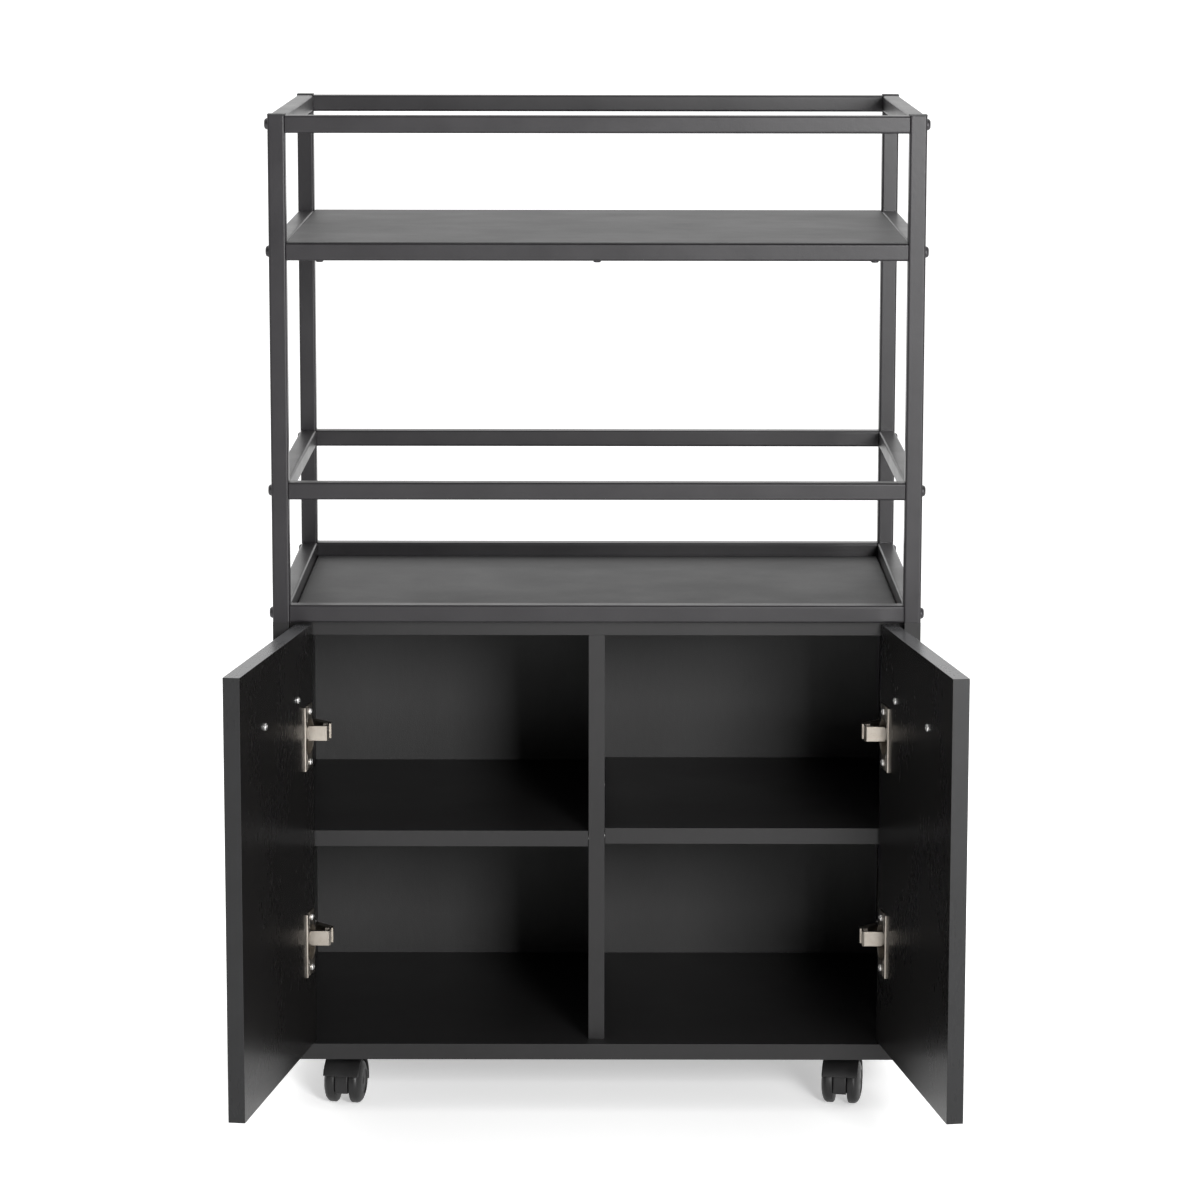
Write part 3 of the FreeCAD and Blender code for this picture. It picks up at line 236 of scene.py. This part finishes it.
def melamine(name, dark, light, rough, painted_edge_light=None, relief=0.00002, shine=0.3):
    """Black melamine board: a satin film with fine pores, and painted light on its thin edges: a pale painted
    highlight on their top faces and a dimmer painted copy on their end faces.
    """
    s = Shade(name, Specular_IOR_Level=shine)
    worn_and_highlit = s.edges(0.0006)
    cloud = s.noise(5.0, 3.0, 0.5)
    pores = s.cells(900.0)
    fibre = s.noise(300.0, 3.0, 0.6, stretch=(1, 1, 0.25))
    colour = s.mix(s.spread(cloud), dark, light)
    colour = s.mix(s.span(fibre, 0.45, 0.75, 0.0, 0.15), colour, scaled(light, 1.4))
    # Painted light on the thin edges: upward-facing faces get a pale painted highlight and sideways-facing end
    # faces a dimmer painted copy of it, picked by which way each face points.
    if painted_edge_light:
        facing = s.make("ShaderNodeSeparateXYZ",
                        {0: s.make("ShaderNodeTexCoord").outputs["Normal"]})
        ends = s.span(s.math("ABSOLUTE", facing.outputs["X"]), 0.5, 0.4)
        tops = s.span(s.math("ABSOLUTE", facing.outputs["Z"]), 0.7, 0.95)
        streak = s.spread(s.noise(40.0, 3.0, 0.6), 0.75, 1.0)
        colour = s.mix(s.math("MULTIPLY", ends, streak), colour, scaled(painted_edge_light, 0.18))
        colour = s.mix(s.math("MULTIPLY", tops, streak), colour, painted_edge_light)
    # Paler colour along the edges: partly scuffing, partly a painted highlight.
    scuffs_and_sheen = s.span(s.noise(90.0, 3.0), 0.4, 0.7, 0.15, 0.6)
    colour = s.mix(s.math("MULTIPLY", worn_and_highlit, scuffs_and_sheen), colour, scaled(light, 3.0))
    gloss = s.math("ADD", s.spread(cloud, *rough), s.spread(fibre, -0.008, 0.008))
    s.bump(pores, relief, 0.4)
    s.bump(fibre, relief, 0.3)
    return s.finish(colour, gloss)


def plated(name, dark, light, rough=(0.2, 0.34)):
    """Bright plated steel: drawn lines, dull patches, and paler edges, partly wear and partly a painted highlight.
    """
    s = Shade(name, Metallic=1.0)
    worn_and_highlit = s.edges(0.0004)
    lines = s.noise(700.0, 3.0, 0.6, stretch=(1, 1, 14))
    patch = s.noise(60.0, 4.0, 0.6)
    colour = s.mix(s.spread(patch), dark, light)
    # Paler edges: partly wear, partly a painted highlight.
    colour = s.mix(s.math("MULTIPLY", worn_and_highlit, 0.4), colour, scaled(light, 1.35))
    gloss = s.math("ADD", s.span(patch, 0.35, 0.65, *rough), s.spread(lines, -0.05, 0.05))
    s.bump(lines, 0.00003, 0.3)
    return s.finish(colour, gloss)


def moulded(name, dark, light, rough=(0.42, 0.56)):
    """Moulded black plastic with a spark-eroded grain, and paler edges, partly scuffed and partly a painted
    highlight.
    """
    s = Shade(name, Specular_IOR_Level=0.3)
    worn_and_highlit = s.edges(0.0006)
    cloud = s.noise(40.0, 3.0)
    speck = s.cells(1400.0)
    scuff = s.noise(300.0, 4.0, 0.7)
    colour = s.mix(s.spread(cloud), dark, light)
    rub_and_highlight = s.math("MULTIPLY", worn_and_highlit, s.span(scuff, 0.4, 0.7))
    # Paler edges: partly scuffing, partly a painted highlight.
    colour = s.mix(s.math("MULTIPLY", rub_and_highlight, 0.6), colour, scaled(light, 3.0))
    gloss = s.math("ADD", s.spread(cloud, *rough), s.span(scuff, 0.4, 0.7, -0.04, 0.06))
    s.bump(speck, 0.00008, 0.45)
    return s.finish(colour, gloss)


def make_materials():
    """One material for each of the record's slots."""
    return {
        "frame_powder_coat": powder_coat(
            "satin_powder_coat", (0.0115, 0.0105, 0.012), (0.016, 0.0148, 0.0166),
            rough=(0.31, 0.38)),
        "sheet_powder_coat": powder_coat(
            "sheet_powder_coat", (0.02, 0.02, 0.0205), (0.025, 0.025, 0.0255),
            rough=(0.48, 0.56), grain=1100.0),
        "handle_metal": powder_coat(
            "handle_paint", (0.03, 0.03, 0.031), (0.04, 0.04, 0.042),
            rough=(0.3, 0.4), grain=1500.0),
        "black_fastener": plated(
            "blackened_steel", (0.035, 0.034, 0.036), (0.07, 0.068, 0.072), rough=(0.34, 0.46)),
        "zinc_fastener": plated("zinc_plate", (0.5, 0.5, 0.5), (0.7, 0.69, 0.67)),
        "hinge_nickel": plated(
            "nickel_plate", (0.3, 0.27, 0.235), (0.42, 0.385, 0.34), rough=(0.3, 0.42)),
        "caster_zinc": plated("caster_plate_zinc", (0.42, 0.42, 0.43), (0.6, 0.6, 0.6)),
        # The pale edge colour given here is painted light: a painted highlight on the door boards' top faces and a
        # dimmer painted copy on their end faces.
        "door_board": melamine(
            "door_melamine", (0.0065, 0.0061, 0.006), (0.0085, 0.008, 0.0078),
            rough=(0.25, 0.29), painted_edge_light=(0.09, 0.091, 0.094), relief=0.000008, shine=0.17),
        "cabinet_board": melamine(
            "cabinet_melamine", (0.0105, 0.0101, 0.0104), (0.0145, 0.014, 0.0143),
            rough=(0.36, 0.44), shine=0.25),
        "back_board": melamine(
            "back_board", (0.021, 0.0207, 0.0208), (0.029, 0.0285, 0.0286),
            rough=(0.42, 0.54), relief=0.00012),
        "black_plastic": moulded("cap_plastic", (0.012, 0.012, 0.013), (0.018, 0.018, 0.019)),
        "caster_hood": moulded("hood_plastic", (0.009, 0.0088, 0.009), (0.013, 0.0127, 0.013)),
        "caster_wheel": moulded(
            "wheel_plastic", (0.008, 0.0079, 0.008), (0.012, 0.0118, 0.012), rough=(0.36, 0.5)),
    }


def lay_floor():
    s = Shade("pale_floor", Specular_IOR_Level=0.2, Emission_Color=(1, 1, 1, 1),
              Emission_Strength=FLOOR_GLOW)
    cloud = s.noise(0.7, 2.0)
    colour = s.mix(s.spread(cloud), (0.86, 0.86, 0.86), (0.88, 0.88, 0.88))
    s.bump(s.noise(300.0, 2.0), 0.0001, 0.2)
    material = s.finish(colour, s.spread(cloud, 0.75, 0.85))
    corners = [(x * FLOOR_HALF, y * FLOOR_HALF, 0)
               for x, y in ((-1, -1), (1, -1), (1, 1), (-1, 1))]
    mesh = bpy.data.meshes.new("floor")
    mesh.from_pydata(corners, [], [(0, 1, 2, 3)])
    mesh.materials.append(material)
    link(bpy.data.objects.new("floor", mesh))


def paint_the_frame():
    slot_of = {part["node"]: part["material_slot"] for part in frame["record"]["subparts"]}
    for name, obj in NODES.items():
        for slot in obj.material_slots:
            slot.material = MATERIALS[slot_of[name]]


# ---------------------------------------------------------------- mesh tools

def welded(node):
    """A CAD node's mesh, as a bmesh whose faces share their corners."""
    mesh = bmesh.new()
    mesh.from_mesh(NODES[node].data)
    bmesh.ops.remove_doubles(mesh, verts=mesh.verts, dist=WELD)
    return mesh


def solids_of(node):
    """The corner points of each separate solid in a CAD node."""
    mesh = welded(node)
    found, seen = [], set()
    for start in mesh.verts:
        if start in seen:
            continue
        seen.add(start)
        points, waiting = [], [start]
        while waiting:
            vert = waiting.pop()
            points.append(vert.co.copy())
            for edge in vert.link_edges:
                other = edge.other_vert(vert)
                if other not in seen:
                    seen.add(other)
                    waiting.append(other)
        found.append(np.array(points))
    mesh.free()
    return found


def ringed(mesh, place, rings, segments=96):
    """A closed body of rings about local z, lowest first: (height, radius or outline)."""
    loops = []
    for height, outline in rings:
        loop = []
        for i in range(segments):
            angle = math.tau * i / segments
            r = outline(angle) if callable(outline) else outline
            spot = Vector((r * math.cos(angle), r * math.sin(angle), height))
            loop.append(mesh.verts.new(place @ spot))
        loops.append(loop)
    closed(mesh, loops)


def extruded(mesh, place, outline, low, high):
    """A closed outline in the local XY plane, carried from one height to another."""
    closed(mesh, [[mesh.verts.new(place @ Vector((x, y, z))) for x, y in outline]
                  for z in (low, high)])


def closed(mesh, loops):
    """Joins each loop of corners to the next, and closes the first and the last."""
    for low, high in zip(loops, loops[1:]):
        for i in range(len(low)):
            j = (i + 1) % len(low)
            mesh.faces.new((low[i], low[j], high[j], high[i]))
    mesh.faces.new(loops[0][::-1])
    mesh.faces.new(loops[-1])


def hexagon(flat):
    """The outline of a hexagon socket, from half the distance across its flats."""
    return lambda angle: flat / math.cos(angle % (math.pi / 3) - math.pi / 6)


def cross(reach, half_width):
    """The outline of a cross recess."""
    def outline(angle):
        off = (angle + math.pi / 4) % (math.pi / 2) - math.pi / 4
        if abs(math.tan(off)) <= half_width / reach:
            return reach / math.cos(off)
        return half_width / abs(math.sin(off))
    return outline


def along(axis, at):
    """A placement whose z axis points along a direction."""
    return Matrix.Translation(at) @ Vector(axis).to_track_quat("Z", "Y").to_matrix().to_4x4()


def add_piece(name, mesh, body, slot, replaced=(), sharp=35):
    """Makes an object of a bmesh, paints it, ties it to its body, and hides the CAD nodes it replaces."""
    data = bpy.data.meshes.new(name)
    bmesh.ops.recalc_face_normals(mesh, faces=mesh.faces)
    mesh.to_mesh(data)
    mesh.free()
    data.shade_smooth()
    data.set_sharp_from_angle(angle=math.radians(sharp))
    data.materials.append(MATERIALS[slot])
    obj = link(bpy.data.objects.new(name, data))
    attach(obj, body)
    if replaced:
        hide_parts(*replaced)
    return obj


# ---------------------------------------------------------------- screws and bolts

def fastener_shape(points):
    """A screw's sizes from its CAD corners.

    Gives the placement of its head's seat, with z out of the head, then the head's radius and
    height and the shank's radius and length.
    """
    middle = points.mean(0)
    axis = np.linalg.svd(points - middle)[2][0]
    reach = (points - middle) @ axis
    radial = np.linalg.norm(points - middle - np.outer(reach, axis), axis=1)
    widest = radial > 0.97 * radial.max()
    if reach[widest].mean() < 0:
        axis, reach = -axis, -reach
    seat = reach[widest].min()
    at_the_tip = reach < reach.min() + 0.01 * MM
    return (along(axis, middle + axis * seat), radial.max(), reach.max() - seat,
            radial[at_the_tip].max(), seat - reach.min())


def button_bolt(mesh, points):
    """A button head with a hexagon socket, on a shank with a lead-in."""
    place, radius, height, shank, length = fastener_shape(points)
    flat = 2.0 * MM
    dome = [(height * math.sin(math.radians(d)), radius * (0.5 + 0.5 * math.cos(math.radians(d))))
            for d in (12, 24, 36, 48, 60, 72, 82)]
    ringed(mesh, place, [
        (-length, shank - 0.5 * MM), (0.5 * MM - length, shank), (0, shank),
        (0, radius * 0.97), (0.12 * MM, radius), *dome,
        (height, max(radius * 0.5, 2.6 * MM)), (height, hexagon(flat + 0.22 * MM)),
        (height - 0.2 * MM, hexagon(flat)), (height - 1.7 * MM, hexagon(flat)),
        (height - 2.1 * MM, 0.3 * MM)])


def pan_screw(mesh, points):
    """A pan head with a cross recess, on a pointed shank."""
    place, radius, height, shank, length = fastener_shape(points)
    reach, wide = radius * 0.56, radius * 0.13
    ringed(mesh, place, [
        (-length, 0.2 * MM), (1.4 * MM - length, shank), (0, shank), (0, radius * 0.96),
        (0.1 * MM, radius), (height * 0.45, radius), (height * 0.72, radius * 0.95),
        (height * 0.9, radius * 0.84), (height, radius * 0.68),
        (height, cross(reach, wide + 0.08 * MM)), (height - 0.08 * MM, cross(reach, wide)),
        (height * 0.45, cross(reach * 0.62, wide * 0.8)), (height * 0.25, 0.1 * MM)])


def make_fasteners():
    for node, slot, body, builder in (
            ("frame_bolts", "black_fastener", "cart", button_bolt),
            ("shelf_screws", "black_fastener", "cart", pan_screw),
            ("mounting_screws", "zinc_fastener", "cart", pan_screw),
            ("door_screws_left", "zinc_fastener", "left_door", pan_screw),
            ("door_screws_right", "zinc_fastener", "right_door", pan_screw)):
        mesh = bmesh.new()
        for points in solids_of(node):
            builder(mesh, points)
        add_piece(f"{node}_detailed", mesh, body, slot, (node,))


# ---------------------------------------------------------------- hinges

DOOR_OPEN = math.radians(99.1)      # how far the doors stand open at rest
FLANGE_FACE = 9.2 * MM              # from the pin inwards to the face of the hinge's flange
LIP_BACK, LIP_FRONT = 28.75 * MM, 31.0 * MM     # from the pin towards the door's free edge
LIP_RADIUS = 0.9 * MM
LIP_STEPS = 12
EAR_BACK, EAR_FRONT = 21.0 * MM, 29.2 * MM
EAR_THICK = 1.0 * MM
EARS = ((-29.8 * MM, -18.4 * MM), (18.4 * MM, 29.8 * MM))   # above and below the cup
FLANGE_HALF = 30 * MM


def door_place(joint):
    """The door's own axes about its pin, at rest: x to its free edge, y inwards when shut."""
    side = -1 if joint["child"] == "left_door" else 1
    free = Vector((-side * math.cos(DOOR_OPEN), -math.sin(DOOR_OPEN), 0))
    inward = Vector((-side * math.sin(DOOR_OPEN), math.cos(DOOR_OPEN), 0))
    turn = Matrix((free, inward, Vector((0, 0, 1)))).transposed().to_4x4()
    return Matrix.Translation((joint["pos_m"][0], joint["pos_m"][1], 0)) @ turn


def make_flange_lips():
    """The rolled front edge of each hinge's flange, and the square corners behind it."""
    floor = FLANGE_FACE + 0.05 * MM
    middle_of_roll = FLANGE_FACE + 1.0 * MM
    roll = [(LIP_BACK, FLANGE_FACE + LIP_RADIUS), (LIP_BACK, floor), (LIP_FRONT, floor)]
    for step in range(LIP_STEPS + 1):
        angle = math.pi * step / LIP_STEPS
        roll.append((LIP_FRONT - LIP_RADIUS + LIP_RADIUS * math.cos(angle),
                     middle_of_roll + LIP_RADIUS * math.sin(angle)))
    low, high = FLANGE_FACE + 0.1 * MM, FLANGE_FACE + 0.1 * MM + EAR_THICK
    ear = [(EAR_BACK, low), (EAR_FRONT, low), (EAR_FRONT, high), (EAR_BACK, high)]
    for joint in frame["joints"]:
        if not joint["name"].endswith("_swing"):
            continue
        side = joint["child"].split("_")[0]
        bottom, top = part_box(f"hinge_cups_{side}")
        place = door_place(joint)
        mesh = bmesh.new()
        for middle in (bottom.z + FLANGE_HALF, top.z - FLANGE_HALF):
            extruded(mesh, place, roll, middle - FLANGE_HALF, middle + FLANGE_HALF)
            for start, end in EARS:
                extruded(mesh, place, ear, middle + start, middle + end)
        add_piece(f"flange_lips_{side}", mesh, joint["child"], "hinge_nickel", sharp=50)


# ---------------------------------------------------------------- casters

WHEEL_RADIUS = 21.0
FORK_VOXEL = 0.5 * MM


def wheel_profile(width):
    """A wheel's outline along its axle, from its inner face outwards: (height, radius)."""
    r, w = WHEEL_RADIUS, width / MM
    outline = [
        (0.0, 3.0), (0.0, r - 2.0), (0.3, r - 0.9), (0.9, r - 0.25), (1.6, r),
        (w * 0.5, r), (w * 0.5 + 0.15, r - 0.2), (w * 0.5 + 0.3, r),
        (w - 5.4, r - 0.02), (w - 4.4, r - 0.3), (w - 3.5, r - 0.8), (w - 2.4, r - 1.9),
        (w - 1.6, r - 3.1), (w - 0.9, r - 4.8), (w - 0.35, r - 6.4), (w, r - 8.2),
        (w, r - 9.2), (w - 0.8, r - 9.7), (w - 1.0, r - 11.0), (w - 0.7, r - 15.0),
        (w - 0.6, 3.2), (w - 0.3, 2.8), (w - 0.2, 0.3)]
    return [(height * MM, radius * MM) for height, radius in outline]


def make_wheels():
    """Each wheel with a rounded tread, a parting line, a dished face and a hub."""
    for joint in frame["joints"]:
        if not joint["name"].endswith("_wheel_spin"):
            continue
        node = joint["child"]
        points = np.array([v.co for v in NODES[node].data.vertices])
        axis = Vector(joint["axis"]).normalized()
        centre = Vector(joint["pos_m"])
        reach = (points - np.array(centre)) @ np.array(axis)
        outward = axis if node.endswith("right_wheel") else -axis
        inner = centre + axis * (reach.min() if node.endswith("right_wheel") else reach.max())
        mesh = bmesh.new()
        ringed(mesh, along(outward, inner), wheel_profile(reach.max() - reach.min()))
        add_piece(f"{node}_moulded", mesh, node, "caster_wheel", (node,))


def make_forks():
    """Each fork's CAD shape with its edges softened, as one moulding has them."""
    for joint in frame["joints"]:
        if not joint["name"].endswith("_turn"):
            continue
        node = joint["child"].replace("_swivel", "_fork")
        obj = add_piece(f"{node}_moulded", welded(node), joint["child"], "caster_hood", (node,))
        remesh = obj.modifiers.new("moulding", "REMESH")
        remesh.mode = "VOXEL"
        remesh.voxel_size = FORK_VOXEL
        remesh.use_smooth_shade = True
        soften = obj.modifiers.new("soften", "SMOOTH")
        soften.factor = 0.5
        soften.iterations = 4


place_camera()
light_the_studio()
lay_floor()
MATERIALS = make_materials()
paint_the_frame()
make_fasteners()
make_flange_lips()
make_wheels()
make_forks()
